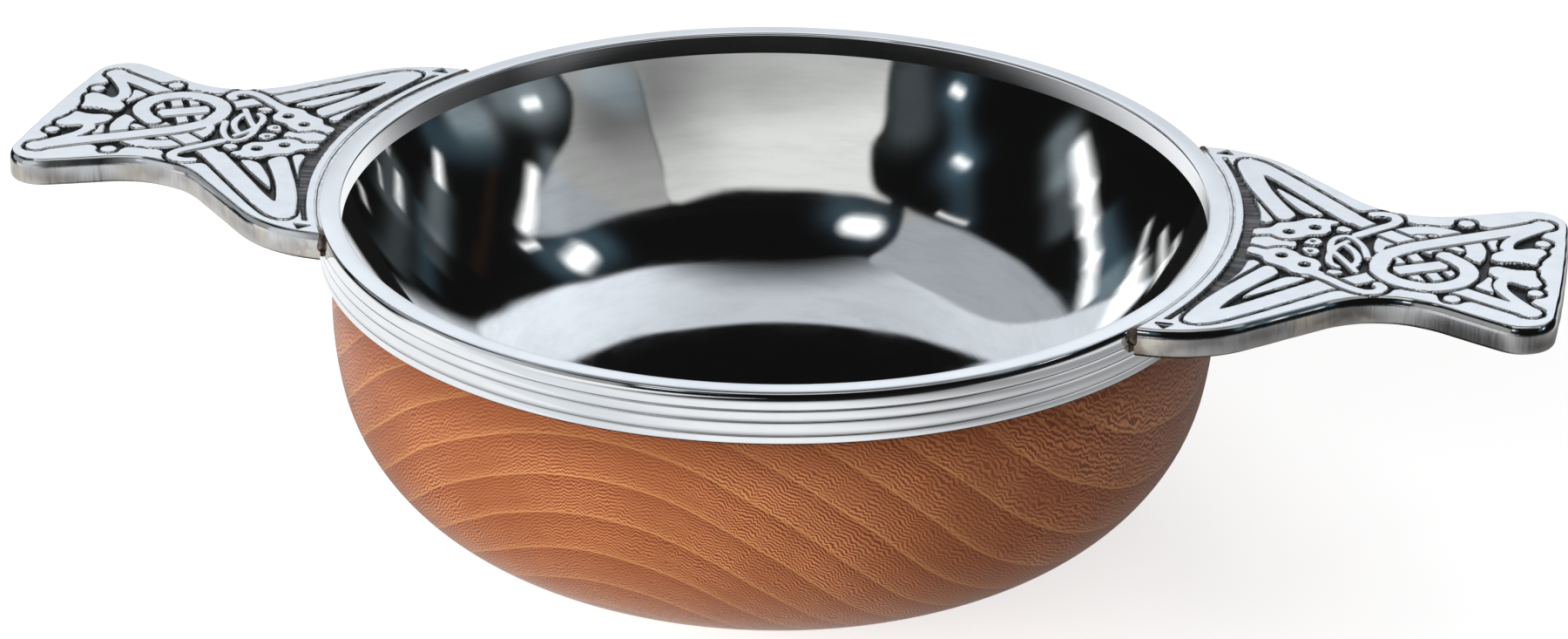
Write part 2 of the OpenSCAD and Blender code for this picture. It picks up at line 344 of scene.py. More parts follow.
def rim_finish(marks):
    material, w, surface, place = new_material("turned_rim")
    bright, dull = (0.87, 0.875, 0.885), (0.80, 0.81, 0.825)
    found = w.group(marks, Place=place, Rings_per_m=5200.0)
    smears = found["Smears"]
    w.feed(surface, Metallic=1.0, Base_Color=w.mix(w.span(smears, 0.3, 0.7), bright, dull),
           Roughness=w.scaled(smears, 0.08, 0.035))
    w.bump(surface, found["Marks"], 0.05, 0.00002)
    return material


def blackened_ground(w, place, cloud, grit):
    """Black in the sunk ground, brushed thin in the pocket beside the ring."""
    black, dusty, brushed_metal = (0.012, 0.012, 0.014), (0.085, 0.085, 0.09), (0.26, 0.26, 0.27)
    strokes = (80, 80, 0)
    polar = w.vector("MULTIPLY", w.vector("NORMALIZE", w.vector("MULTIPLY", place, (1, 1, 0))), strokes)
    brushed = w.span(w.scaled(cloud, 0.5, w.noise(polar, 1.0, 3.0, 0.65)), 0.62, 0.95)
    pocket = w.fall(w.scaled(cloud, 0.002, w.from_axis(place)), 0.0605, 0.0650)
    return w.mix(w.times(brushed, pocket), w.mix(w.span(grit, 0.5, 0.75), black, dusty), brushed_metal)


def filed_flank(w, place, cloud, file_marks):
    """Rough side of a lug: patches, a yellow film, file marks and a stained root, with painted shade that colours
    the right lug's flank darker than the left one's, painted light on the lower flank, and file marks that show
    more on the right.
    """
    x, _, z = w.split(place)
    # painted light and shade: worn goes from 0 on the left lug to 1 on the right one, making the left flank
    # lighter and the right flank darker; it also makes the file marks show more on the right
    worn = w.span(x, -0.02, 0.02)
    patches = w.noise(place, 120.0, 2.0)
    bright = w.mix(worn, (0.66, 0.655, 0.65), (0.36, 0.355, 0.35))
    dark = w.mix(worn, (0.30, 0.27, 0.24), (0.10, 0.08, 0.065))
    flank = w.mix(w.span(patches, 0.40, 0.60), bright, dark)
    yellow, scratch, painted_lower_light = (0.56, 0.46, 0.31), (0.12, 0.105, 0.09), (0.58, 0.56, 0.54)
    film = w.noise(w.mapping(place, move=(0.3, 0.1, 0.2)), 150.0, 3.0, 0.6)
    flank = w.mix(w.times(w.span(film, 0.52, 0.64), 0.7), flank, yellow)
    scored = w.times(w.span(file_marks, 0.48, 0.68), w.scaled(worn, 0.4, 0.4))
    flank = w.mix(scored, flank, scratch)
    # painted light: the lower part of the flank is coloured a lighter grey
    low = w.fall(w.scaled(cloud, 0.0012, z), 0.0472, 0.0488)
    flank = w.mix(w.times(low, 0.75), flank, painted_lower_light)
    root = w.fall(w.scaled(patches, 0.004, w.from_axis(place)), 0.0605, 0.0655)
    stain = w.mix(w.span(cloud, 0.42, 0.6), (0.66, 0.61, 0.53), (0.27, 0.20, 0.13))
    return w.mix(w.times(root, 0.8), flank, stain)


def cast_finish():
    """Pewter casting: polished strands, black where the attribute ground says and rough where side says."""
    material, w, surface, place = new_material("cast_lug")
    ground, side = w.attribute("ground")["Fac"], w.attribute("side")["Fac"]
    cloud = w.noise(place, 300.0, 4.0, 0.6)
    grit = w.noise(place, 2400.0, 3.0, 0.6)
    file_marks = w.noise(w.mapping(place, (1, 1, 0.10)), 1300.0, 3.0, 0.6)
    top = w.mix(w.span(cloud, 0.35, 0.7), (0.84, 0.85, 0.865), (0.79, 0.80, 0.82))
    metal = w.mix(side, top, filed_flank(w, place, cloud, file_marks))
    dirt = w.scaled(w.math("SUBTRACT", cloud, 0.5), 0.3, ground)
    dirt = w.times(w.span(dirt, 0.25, 0.7), w.span(ground, 0.0, 0.1))
    polish = w.scaled(side, 0.25, w.scaled(cloud, 0.08, 0.05))
    w.feed(surface, Base_Color=w.mix(dirt, metal, blackened_ground(w, place, cloud, grit)),
           Metallic=w.scaled(dirt, -0.75, 1.0), Roughness=w.scaled(dirt, 0.35, polish))
    rise = w.scaled(file_marks, side, w.times(grit, w.times(dirt, 0.6)))
    w.bump(surface, w.scaled(cloud, 0.10, rise), 0.4, 0.00015)
    return material


def solder_finish():
    """Bright solder with the dark line of the joint, browned towards the ends of the seam."""
    material, w, surface, place = new_material("old_solder")
    bright, dull = (0.80, 0.81, 0.82), (0.62, 0.62, 0.63)
    burnt, gap = (0.17, 0.10, 0.055), (0.03, 0.027, 0.025)
    lump = w.noise(place, 700.0, 4.0, 0.6)
    waver = w.noise(place, 160.0, 3.0, 0.6)
    joint = w.scaled(waver, 0.0004, (RING_RADIUS - 0.12) * MM)
    off = w.math("ABSOLUTE", w.math("SUBTRACT", w.from_axis(place), joint))
    line = w.times(w.fall(off, 0.00003, 0.00012), w.span(waver, 0.35, 0.5, 0.4, 1.0))
    along = w.math("ABSOLUTE", w.split(place)["Y"])
    brown = w.span(w.scaled(lump, 0.003, along), 0.0268, 0.0292)
    metal = w.mix(w.times(brown, 0.85), w.mix(w.span(lump, 0.4, 0.7), bright, dull), burnt)
    w.feed(surface, Base_Color=w.mix(line, metal, gap), Metallic=w.scaled(line, -0.7, 1.0),
           Roughness=w.scaled(brown, 0.3, w.scaled(lump, 0.2, 0.08)))
    w.bump(surface, lump, 0.25, 0.0002)
    return material


def cement_finish():
    material, w, surface, place = new_material("grey_cement")
    grain = w.noise(place, 900.0, 5.0, 0.7)
    w.feed(surface, Base_Color=w.mix(grain, (0.20, 0.19, 0.17), (0.36, 0.34, 0.31)), Roughness=0.9)
    w.bump(surface, grain, 0.5, 0.0004)
    return material


def elm_figure_group():
    """Growth rings round the log's heart, which lay slanted below the cup, with fine wavy bands between."""
    w, given, out = mask_group(
        "elm_figure", {"Ring width": 0.00507, "Wave width": 0.00047}, ("Ring", "Waves", "Tone", "Pores"))
    heart_aside, heart_below, lean_aside, lean_down = 0.0005, 0.0228, -0.429, 0.381
    taper, sway, first_ring = -0.265, 0.0024, 0.03743
    place = w.mapping(given["Place"], turn=SQUARE_ON)
    x, y, z = w.split(place)
    across = w.scaled(y, lean_aside, w.math("ADD", x, heart_aside))
    above = w.scaled(y, lean_down, w.math("ADD", z, heart_below))
    tapered = w.scaled(y, taper, w.vector("LENGTH", w.combine(across, above)))
    depth = w.scaled(w.math("SUBTRACT", w.noise(place, 34.0, 2.0, 0.45), 0.5), sway, tapered)
    rings = w.math("DIVIDE", w.math("SUBTRACT", depth, first_ring), given["Ring width"])
    round_ring = w.combine(w.times(w.math("ARCTAN2", above, across), 0.05), y, w.times(depth, 0.3))
    waver = depth
    for scale, reach in ((1400.0, 0.0010), (380.0, 0.0015)):
        waver = w.scaled(w.math("SUBTRACT", w.noise(round_ring, scale, 1.0, 0.5), 0.5), reach, waver)
    waves = w.math("SINE", w.times(w.math("DIVIDE", waver, given["Wave width"]), 2 * pi))
    broken = w.span(w.noise(round_ring, 900.0, 1.0, 0.5), 0.36, 0.60, 0.5, 1.0)
    w.feed(out, Ring=w.math("FRACT", rings), Waves=w.scaled(w.times(waves, broken), 0.5, 0.5),
           Tone=w.noise(place, 60.0, 3.0, 0.55), Pores=w.noise(place, 2600.0, 2.0, 0.6))
    return w.tree


def wood_finish(figure):
    material, w, surface, place = new_material("elm_wood")
    dark_body, pale_body, late_wood = (0.41, 0.128, 0.045), (0.54, 0.188, 0.070), (0.335, 0.092, 0.031)
    early_wood, ring_line = (0.62, 0.250, 0.090), (0.70, 0.33, 0.115)
    trough, crest = (0.42, 0.29, 0.21), (1.50, 1.68, 1.90)      # the fine waves multiply the body's colour
    # painted shade under the rim, then painted light near the foot
    painted_rim_shade, painted_table_bounce = (0.20, 0.052, 0.016), (0.78, 0.34, 0.16)
    seen = w.group(figure, Place=place)
    ring, waves, tone, pores = [seen[name] for name in ("Ring", "Waves", "Tone", "Pores")]
    start = w.times(w.span(ring, 0.0, 0.015), w.fall(ring, 0.02, 0.32))
    line = w.times(w.span(ring, 0.0, 0.012), w.fall(ring, 0.015, 0.065))
    line = w.times(line, w.span(pores, 0.25, 0.65, 0.7, 1.0))
    body = w.mix(w.span(tone, 0.3, 0.7), dark_body, pale_body)
    body = w.mix(w.times(w.span(ring, 0.45, 1.0), 0.55), body, late_wood)
    body = w.mix(w.times(start, 0.42), body, early_wood)
    shade = w.mix(w.span(w.scaled(pores, 0.5, waves), 0.25, 1.25), trough, crest)
    lively = w.span(tone, 0.36, 0.58, 0.55, 1.0)
    figured = w.mix(lively, body, w.mix(1.0, body, shade, "MULTIPLY"))
    figured = w.mix(w.times(line, 0.8), figured, ring_line)
    height = w.split(place)["Z"]
    # painted shade: the wood is coloured darker just under the rim, where the ring overhangs it
    under_rim = w.span(w.scaled(tone, 0.004, height), 0.0375, 0.0455)
    figured = w.mix(w.times(under_rim, 0.6), figured, painted_rim_shade)
    # painted light: the wood is coloured paler towards the foot, standing in for light thrown back by the white
    # table
    figured = w.mix(w.span(height, 0.004, 0.026, 0.36, 0.0), figured, painted_table_bounce)
    w.feed(surface, Base_Color=figured, Roughness=w.scaled(waves, -0.08, 0.46), Specular_IOR_Level=0.08,
           Coat_Weight=0.07, Coat_Roughness=0.14, Sheen_Weight=0.45, Sheen_Roughness=0.4)
    w.bump(surface, waves, 0.06, 0.00005)
    return material


# Turned pieces

def turned_bowl():
    side_radius, knuckle_radius, side_turn, slope = 48.0, 23.2, 10.0, 27.5
    widest, widest_drop, tread, clearance = 56.2, 14.3, 0.8, 0.05
    bed, spigot = 1.3, 1.5              # room for the cement, and how far the wood reaches into the ring
    side = (widest - side_radius, RIM_TOP - widest_drop)
    knuckle = on_circle(side, side_radius - knuckle_radius, -side_turn)
    end = on_circle(knuckle, knuckle_radius, slope - 90)
    base = end[0] - end[1] / tan(radians(slope))
    seat_radius, seat_top = LINER_RADIUS + bed, RING_LOW + spigot
    hollow = ((0.0, 0.35), (0.55, 0.3), (0.62, 0.0))    # of the base: share of its radius, and height
    section = [(base * share, height) for share, height in hollow]
    section += arc((base - tread, tread), tread, -90, slope - 90, 5)
    section += [(base + (end[0] - base) * t, end[1] * t) for t in np.linspace(0.06, 0.95, 10)]
    section += arc(knuckle, knuckle_radius, slope - 90, -side_turn, 40)
    section += arc(side, side_radius, -side_turn, angle_at(RING_LOW, side[1], side_radius), 20)[1:]
    section += [(SKIRT_INNER - clearance, level) for level in (RING_LOW, seat_top)]
    section += arc((0.0, LINER_CENTRE), seat_radius, angle_at(seat_top, LINER_CENTRE, seat_radius), -90, 24)
    return turned("turned_bowl", section, 192)


def spun_liner():
    ball, back = (0.0, LINER_CENTRE), LINER_RADIUS + 0.9
    section = arc(ball, LINER_RADIUS, -90, angle_at(LIP_LOW, LINER_CENTRE, LINER_RADIUS), 96)
    section += arc(ball, back, angle_at(LIP_LOW, LINER_CENTRE, back), -90, 32)
    return turned("spun_liner", section, 256)


def reeded_rim():
    edge_in, edge_down, inner_edge, foot = 0.42, 1.75, 0.3, 0.2
    reed, shoulder, reed_drops = 0.05, 0.05, (5.56, 3.8, 2.37)
    section = [(SKIRT_INNER, RING_LOW), (RING_RADIUS - foot, RING_LOW)]
    section += arc((RING_RADIUS - foot, RING_LOW + foot), foot, -60, 0, 3)
    for level in (RIM_TOP - drop for drop in reed_drops):
        section += [(RING_RADIUS, level - reed - shoulder)]
        section += arc((RING_RADIUS, level), reed, -110, -250, 8)
        section += [(RING_RADIUS, level + reed + shoulder)]
    section += [(RING_RADIUS + (r - 1) * edge_in, RING_TOP + (z - 1) * edge_down)
                for r, z in arc((0, 0), 1, 0, 90, 14)]
    section += arc((LINER_LIP + inner_edge, RING_TOP - inner_edge), inner_edge, 90, 180, 10)
    section += [(LINER_LIP, RING_TOP - inner_edge - 0.1), (LINER_LIP, LIP_LOW), (SKIRT_INNER, LIP_LOW)]
    return turned("reeded_rim", section, 256)


# Interlace of the lugs. Points are mm out from the ring and across the lug.

LIMB = [
    (15.9, 9.8), (12.5, 13.4), (7.5, 18.7), (4, 22.3), (1.5, 24.6), (-0.5, 25.5), (-1.8, 25.1),
    (-2.1, 23.8), (-1.4, 21.3), (-0.2, 17.9), (1.3, 14.6), (3.4, 10.6), (5.3, 7), (6.5, 7.2),
    (7.4, 8.9), (5.5, 12), (3.5, 15.7), (2.2, 19), (1.6, 20.9), (3.8, 18.8), (7.7, 14.4),
    (11.9, 9.8), (13.9, 7.6)]
LEAF = [(3.6, 17.3), (4.9, 14.2), (7.9, 9.9), (9.4, 9.4), (10.9, 9.7), (7.5, 13.4)]
CLAW = [
    (1.4, 13.3), (2.7, 9.8), (3.1, 7.2), (3.1, 6.2), (3.8, 5.7), (4.6, 6.2), (4.7, 6.9), (3.4, 9.4),
    (2.3, 11.6)]
HEAD = [
    (2.7, 1.9), (2.6, 3.6), (4.6, 4.3), (5.3, 6.1), (6.5, 6.5), (7.7, 7.1), (8.7, 8.3), (10.5, 8.6),
    (12.7, 8.2), (12.7, 7.5), (11.7, 6.8), (12.1, 5.3), (11.4, 3.8), (9.4, 3.2), (8.7, 2.2),
    (7.1, 1.25), (5.7, 1.6), (4.9, 2.4), (3.7, 1.9)]
TONGUE = [(2.8, 1), (3.8, 1.3), (4.9, 1.7), (5.8, 1), (7, 0.65), (8.3, 1)]
NOSE = [(9.1, 0.6), (9.4, 1.6), (10, 2.5), (11, 2.3), (11.4, 1.5), (11.1, 0.6), (10.1, 0.35)]
FAR_SCALE = [(12.6, 6.4), (13.3, 7), (14.6, 6.2), (14.4, 5.3), (13.2, 5.1), (12.6, 5.6)]
NEAR_SCALE = [(12.9, -6.4), (14.4, -6.3), (14.9, -7), (13.7, -7.8), (12.8, -7.3)]
TUFT = [
    (31.8, 3), (31.7, 1.2), (32.8, 0.55), (35, 1.25), (37.4, 0.7), (37.4, 2.4), (38.4, 4.6),
    (37.8, 5.8), (36.3, 5.7), (34.8, 4.9), (33.5, 4.6)]
FAR_WEDGE = [(30.9, 6.6), (32.3, 7.4), (32.1, 5.8), (32.4, 4.2), (31.8, 3.9), (31.4, 5.2)]
NEAR_WEDGE = [(30.3, -7.3), (33, -8.6), (32.3, -6.2), (32.4, -4.2), (31.8, -3.9), (31.3, -5.4)]
PIP = [(-5.0, 26.2), (-3.0, 26.2), (-3.9, 27.5)]
POCKET = [(-7.5, 25), (-3.5, 25), (0.5, 16), (4, 6)]
RING_RUN = [
    (26.5, 0.9), (28.7, -1.2), (29.6, -3.6), (28.8, -6.3), (26.5, -8.2), (24.2, -8.65), (21.1, -7.8),
    (19.2, -5.7), (18.75, -3.2)]
LIMB_TO_RING = [(12.8, 11.2), (15.6, 8.4), (19.9, 5.15), (23.5, 2.9)] + RING_RUN + [(19.3, -0.6)]
RING_TO_TIP = [(18.75, -3.2), (19.3, -0.6), (21.8, 2.3), (25.5, 4.9), (33.5, 10.1), (37.2, 12.8)]
LIMB_TO_BAR = [(12.5, -11.6), (16.7, -8.5), (20.7, -5), (26.6, -1.6)]
TIP_LIMB = [(28.2, -8.4), (32.6, -10.7), (37.2, -12.9)]
FAR_HOOK = [(15.3, 4.6), (17.3, 6.9), (19.1, 8.8), (19.7, 10.3), (19.1, 11.5), (17.7, 11.8), (16.6, 11.45)]
NEAR_HOOK = [
    (10.8, -7.6), (13.3, -9.1), (15.5, -10.8), (17.6, -11.75), (19.2, -11.4), (19.75, -10.1),
    (19.2, -9.3)]
FINGER = [(37.4, 12.3), (35.2, 9.6), (33.8, 7.4), (33.4, 5.4), (34.1, 4)]
KNOT = [
    [(12.6, -1), (12.4, 1.5), (12.9, 3.2), (14.1, 4), (15.3, 3.1), (16.5, 1), (17.2, -1.6)],
    [(14.3, 2.4), (13.2, 0.4), (12.6, -2.2), (13, -4.3), (13.9, -5.3)],
    [(13.2, -1.3), (14.1, -2.6), (15.2, -4.4), (16.2, -6.1)],
    [(14.4, 1.2), (15.4, -0.2), (16.1, -2.2), (15.9, -4.6)]]
CROSS_BARS = [
    (1.2, [(22.7, 5.9), (27.9, 3.1)]), (1.5, [(22.4, 0.3), (26, -6.2)]),
    (1.3, [(20.7, -1.5), (23.9, -7)]), (1.2, [(26.4, -2.6), (27.9, -4.9)])]
PELLETS = [(1.05, (28.1, 11.3)), (0.95, (37.65, 7.35)), (1.45, (37.3, 12.85))]
EYES = [(0.72, (7, 3.6)), (0.75, (10, 5.65)), (0.32, (10.2, 1.5))]
GROOVE = 0.55
STRAND_REACH = 4.0
RELIEF = 0.6
BAND, TIP_BAND, HOOK, FINGER_WIDTH, KNOT_WIDTH = 2.4, 2.3, 1.45, 1.6, 0.9
LOOP_CENTRE, LOOP_RADIUS = (24.35, 2.55), 5.6
UNDER_STRANDS = [(BAND, LIMB_TO_RING), (BAND, LIMB_TO_BAR), (TIP_BAND, TIP_LIMB)] + CROSS_BARS
HOOKS = [(HOOK, FAR_HOOK), (HOOK, NEAR_HOOK)]
OVERPASSES = HOOKS + [
    (TIP_BAND, [(26, 1.25)] + RING_RUN[1:] + [(19, -1.8)]), (BAND, [(20.9, -4.85), (26.4, -1.75)]),
    (BAND, [(20.4, 0.9), (22.5, 2.9), (25.5, 4.9), (30.5, 8.2)]),
    (BAND, [(17.9, 6.6), (19.9, 5.15), (22.2, 3.7)])]
FAR_OFF = 1000.0


def smooth_path(points, steps=8):
    """Smooth curve through the given points."""
    p = np.array(points, float)
    p = np.vstack([2 * p[0] - p[1], p, 2 * p[-1] - p[-2]])
    t = np.linspace(0, 1, steps, endpoint=False)[:, None]
    runs = []
    for a, b, c, d in zip(p[:-3], p[1:-2], p[2:-1], p[3:]):
        bend, twist = 2 * a - 5 * b + 4 * c - d, 3 * b - a - 3 * c + d
        runs.append(0.5 * (2 * b + (c - a) * t + bend * t ** 2 + twist * t ** 3))
    return np.vstack(runs + [p[-2][None]])


def mirrored(points):
    return [(x, -y) for x, y in points]


def both(points):
    return points, mirrored(points)


def near_box(spots, path, reach):
    """Picks the spots within reach of a path's box."""
    low, high = path.min(0) - reach, path.max(0) + reach
    return np.flatnonzero(((spots > low) & (spots < high)).all(1))


def path_distance(spots, path, open_ends=False, reach=FAR_OFF):
    """Distance from each spot to a path, up to reach. With open_ends, spots past its ends count as far."""
    found = np.full(len(spots), float(reach))
    picked = near_box(spots, path, reach)
    close, near = spots[picked], found[picked]
    last = len(path) - 2
    for i, (a, b) in enumerate(zip(path[:-1], path[1:])):
        along = b - a
        t = (close - a) @ along / max(along @ along, 1e-9)
        gap = np.hypot(*(close - a - np.clip(t, 0, 1)[:, None] * along).T)
        if open_ends:
            gap[((i == 0) & (t < 0)) | ((i == last) & (t > 1))] = reach
        near = np.minimum(near, gap)
    found[picked] = near
    return found


def shape_distance(spots, outline, reach=FAR_OFF):
    """Distance to a closed outline, negative inside it."""
    loop = np.array(list(outline) + [outline[0]], float)
    found = path_distance(spots, loop, reach=reach)
    picked = near_box(spots, loop, reach)
    close = spots[picked]
    inside = np.zeros(len(picked), bool)
    for (x0, y0), (x1, y1) in zip(loop[:-1], loop[1:]):
        if y0 != y1:
            crosses = (close[:, 1] < y0) != (close[:, 1] < y1)
            inside ^= crosses & (close[:, 0] < x0 + (close[:, 1] - y0) * (x1 - x0) / (y1 - y0))
    found[picked[inside]] *= -1
    return found


def smooth_loop(outline, steps=5, cut_back=0.7):
    """Softens a closed outline's corners without moving its straights."""
    p = np.array(outline, float)
    before, after = (p + np.roll(p, 1, 0)) / 2, (p + np.roll(p, -1, 0)) / 2
    soft = []
    for a, b, c in zip(before, p, after):
        start, end = b + (a - b) * cut_back, b + (c - b) * cut_back
        soft += [(1 - t) ** 2 * start + 2 * t * (1 - t) * b + t ** 2 * end for t in np.linspace(0, 1, steps)]
    return np.array(soft)


def soft_shape(spots, outline):
    return shape_distance(spots, smooth_loop(outline), STRAND_REACH)


def strand(spots, width, path):
    return path_distance(spots, smooth_path(path), reach=STRAND_REACH) - width / 2


def overpass(spots, width, path):
    """The two grooves beside a strand that passes over others, negative inside them."""
    gap = path_distance(spots, smooth_path(path), open_ends=True, reach=STRAND_REACH)
    return np.abs(gap - width / 2 - GROOVE / 2) - GROOVE / 2


def dots(spots, places):
    """Round dots on both sides of the lug's middle line."""
    return [np.hypot(spots[:, 0] - x, spots[:, 1] - side * y) - radius
            for radius, (x, y) in places for side in (1, -1)]


def without_grooves(shape, spots, passes):
    return np.maximum.reduce([shape] + [-overpass(spots, width, path) for width, path in passes])


def lower_strands(spots):
    """Strands and the big loop, hidden on its near side, cut by the grooves of what passes over them."""
    bands = np.minimum.reduce([strand(spots, width, path) for width, path in UNDER_STRANDS])
    x, y = spots.T
    aside = np.abs(x - LOOP_CENTRE[0])
    loop = np.abs(np.hypot(x - LOOP_CENTRE[0], y - LOOP_CENTRE[1]) - LOOP_RADIUS) - BAND / 2
    hidden = (y < LOOP_CENTRE[1] - 0.42 * aside) & (x > 17) & (loop < 0)
    return without_grooves(np.where(hidden, bands, np.minimum(bands, loop)), spots, OVERPASSES)


def limbs(spots):
    shapes = [soft_shape(spots, shape) for outline in (LIMB, LEAF, CLAW) for shape in both(outline)]
    return without_grooves(np.minimum.reduce(shapes), spots, HOOKS)


def upper_strands(spots):
    tongue = TONGUE + mirrored(TONGUE)[::-1]
    outlines = [shape for outline in (HEAD, NOSE, TUFT) for shape in both(outline)]
    outlines += [tongue, FAR_SCALE, NEAR_SCALE, FAR_WEDGE, NEAR_WEDGE]
    strands = HOOKS + [(BAND, RING_TO_TIP)] + [(KNOT_WIDTH, path) for path in KNOT]
    strands += [(FINGER_WIDTH, path) for path in both(FINGER)]
    upper = [soft_shape(spots, outline) for outline in outlines]
    upper += [strand(spots, width, path) for width, path in strands]
    return np.minimum.reduce(upper + dots(spots, PELLETS))


def widened(field, reach):
    """The largest value within reach cells of each cell."""
    rows, columns = field.shape
    padded = np.pad(field, reach, mode="edge")
    wide = np.full_like(field, -FAR_OFF)
    for i in range(-reach, reach + 1):
        for j in range(-reach, reach + 1):
            if i * i + j * j <= reach * reach:
                wide = np.maximum(wide, padded[reach + i:reach + i + rows, reach + j:reach + j + columns])
    return wide


def relief_level(spots, columns):
    """Height of the lug's top at each spot: 0 on the strands and the border, -RELIEF in the ground."""
    strands = np.minimum.reduce([lower_strands(spots), limbs(spots), upper_strands(spots)])
    clear, ring_margin, pip_edge = 1.0, 1.35, 0.1      # a field that holds a disc of the first radius stays level
    cells = int(round(clear / abs(spots[1, 0] - spots[0, 0])))
    field = widened((strands - GROOVE - clear).reshape(-1, columns), cells).ravel()
    from_axis = np.hypot(spots[:, 0] + RING_RADIUS, spots[:, 1])
    pocket = shape_distance(spots, POCKET + mirrored(POCKET)[::-1])
    pocket = np.maximum(pocket, RING_RADIUS + ring_margin - from_axis)
    ground = np.maximum(np.minimum(field, pocket), -strands)
    pits = dots(spots, EYES) + [shape_distance(spots, pip, STRAND_REACH) - pip_edge for pip in both(PIP)]
    return RELIEF * (smoothstep(-0.20, 0.04, np.minimum.reduce([ground] + pits)) - 1)


# Lugs

def rounded_corner(a, b, c, radius, steps=10):
    """Points on the arc that rounds the corner b between a and c."""
    u, v = (a - b) / np.linalg.norm(a - b), (c - b) / np.linalg.norm(c - b)
    bend = acos(u @ v) / 2
    centre = b + (u + v) / np.linalg.norm(u + v) * radius / sin(bend)
    first, last = [b + way * radius / tan(bend) - centre for way in (u, v)]
    start = atan2(first[1], first[0])
    sweep = (atan2(last[1], last[0]) - start + 3 * pi) % (2 * pi) - pi
    return arc(centre, radius, degrees(start), degrees(start + sweep), steps)


def lug_outline():
    """Half outline of a lug with rounded corners, then its tip and its mirror image."""
    corners = np.array(((-12, 28.5), (0.8, 28.5), (19.8, 10.5), (40.5, 20.0), (LUG_TIP, 0.0)))
    half = [tuple(corners[0])]
    for a, b, c, radius in zip(corners, corners[1:], corners[2:], (16.6, 11.8, 4.5)):
        half += rounded_corner(a, b, c, radius)
    sag, half_width, straight = 0.4, 15.0, 13.0
    tip = [(LUG_TIP - sag * (y / half_width) ** 2, y) for y in np.linspace(straight, -straight, 9)]
    return hand_filed(np.array(half + tip + mirrored(half)[::-1]))


def hand_filed(outline, spacing=0.8, waver=0.07, pace=0.35):
    """Even points along the outline, a little off it as a file leaves them."""
    run = np.concatenate([[0], np.cumsum(np.hypot(*np.diff(outline, axis=0).T))])
    even = np.linspace(0, run[-1], int(run[-1] / spacing))
    points = np.column_stack([np.interp(even, run, outline[:, k]) for k in range(2)])
    along = np.gradient(points, axis=0)
    out = np.column_stack([along[:, 1], -along[:, 0]]) / np.hypot(*along.T)[:, None]
    shift = np.array([noise.noise(Vector((*point, 0)) * pace) for point in points]) * waver
    return points + out * shift[:, None]


def edge_steps():
    """The top edge of a lug as small steps (in, up): a long soft curve, then a tight one into the top."""
    slopes = [(a, 0.17) for a in np.linspace(4, 32, 7)] + [(a, 0.045) for a in np.linspace(38, 86, 6)]
    return [(size * sin(radians(a)), size * cos(radians(a))) for a, size in slopes]


LUG_EDGE_IN, LUG_EDGE_DOWN = np.sum(edge_steps(), axis=0)


def pick_faces(mesh, wanted):
    """Selects, in edit mode, the faces for which wanted is true."""
    mode("EDIT")
    bpy.ops.mesh.select_mode(type="FACE")
    select("DESELECT")
    mode("OBJECT")
    for face in mesh.polygons:
        face.select = wanted(face)
    mode("EDIT")


def lug_blank():
    """The plain casting: outline extruded, edges rounded, and its top left above the finished face."""
    under_edge, spare = 0.45, 1.0
    corners = [((x + RING_RADIUS) * MM, y * MM, (LUG_TOP - LUG_THICK) * MM) for x, y in lug_outline()]
    blank = new_piece("cast_lug", corners, faces=[tuple(range(len(corners)))])
    edit_all(blank)
    extrude_up(LUG_THICK - LUG_EDGE_DOWN)
    face_outward()
    pick_faces(blank.data, lambda face: face.normal.z < -0.9)
    bpy.ops.mesh.bevel(offset=under_edge * MM, segments=6, profile=0.5, affect="EDGES", clamp_overlap=False)
    mode("OBJECT")
    pick_faces(blank.data, lambda face: face.normal.z > 0.9 and face.area > 1e-4)
    for inward, upward in edge_steps() + [(0.02, 0)]:
        bpy.ops.mesh.inset(thickness=inward * MM, depth=upward * MM)
    extrude_up(spare)
    mode("OBJECT")
    return blank


def relief_slab():
    """A slab whose top carries the interlace."""
    pitch, thick, sink = 0.13, 6, 0.004
    low, high = np.array((-9.0, -30.0)), np.array((42.0, 30.0))
    columns, rows = (int(count) for count in np.round((high - low) / pitch))
    size = np.array((columns, rows)) * pitch
    slab = built_in(bpy.ops.mesh.primitive_grid_add, x_subdivisions=columns, y_subdivisions=rows, size=1.0)
    spots = vertex_places(slab.data)[:, :2] * size + (low + size / 2)
    level = LUG_TOP + (relief_level(spots, columns + 1) - sink)
    places = np.column_stack([spots[:, 0] + RING_RADIUS, spots[:, 1], level]) * MM
    slab.data.vertices.foreach_set("co", places.ravel())
    slab.data.update()
    pick(slab)
    mode("EDIT")
    bpy.ops.mesh.select_mode(type="EDGE")
    select("DESELECT")
    bpy.ops.mesh.select_non_manifold()
    extrude_up(-thick)
    bpy.ops.mesh.edge_face_add()
    face_outward()
    return slab


def mark_finish(lug):
    """Marks on each vertex how deep it lies in the ground and whether it is on the rough side."""
    x, y, z = (vertex_places(lug.data) / MM).T
    inset = -shape_distance(np.column_stack([x - RING_RADIUS, y]), lug_outline())
    depth, border, deepest, root = LUG_TOP - z, LUG_EDGE_IN + 0.1, 1.0, RING_RADIUS + 0.6
    inner = (inset > border) & (depth < deepest) & (np.hypot(x, y) > root)
    ground = np.where(inner, smoothstep(0.08, 0.30, depth), 0.0)
    side = np.where(inner, 0.0, smoothstep(LUG_EDGE_DOWN - 0.8, LUG_EDGE_DOWN + 0.5, depth))
    for name, values in (("ground", ground), ("side", side)):
        lug.data.attributes.new(name, "FLOAT", "POINT").data.foreach_set("value", values.astype(np.float32))


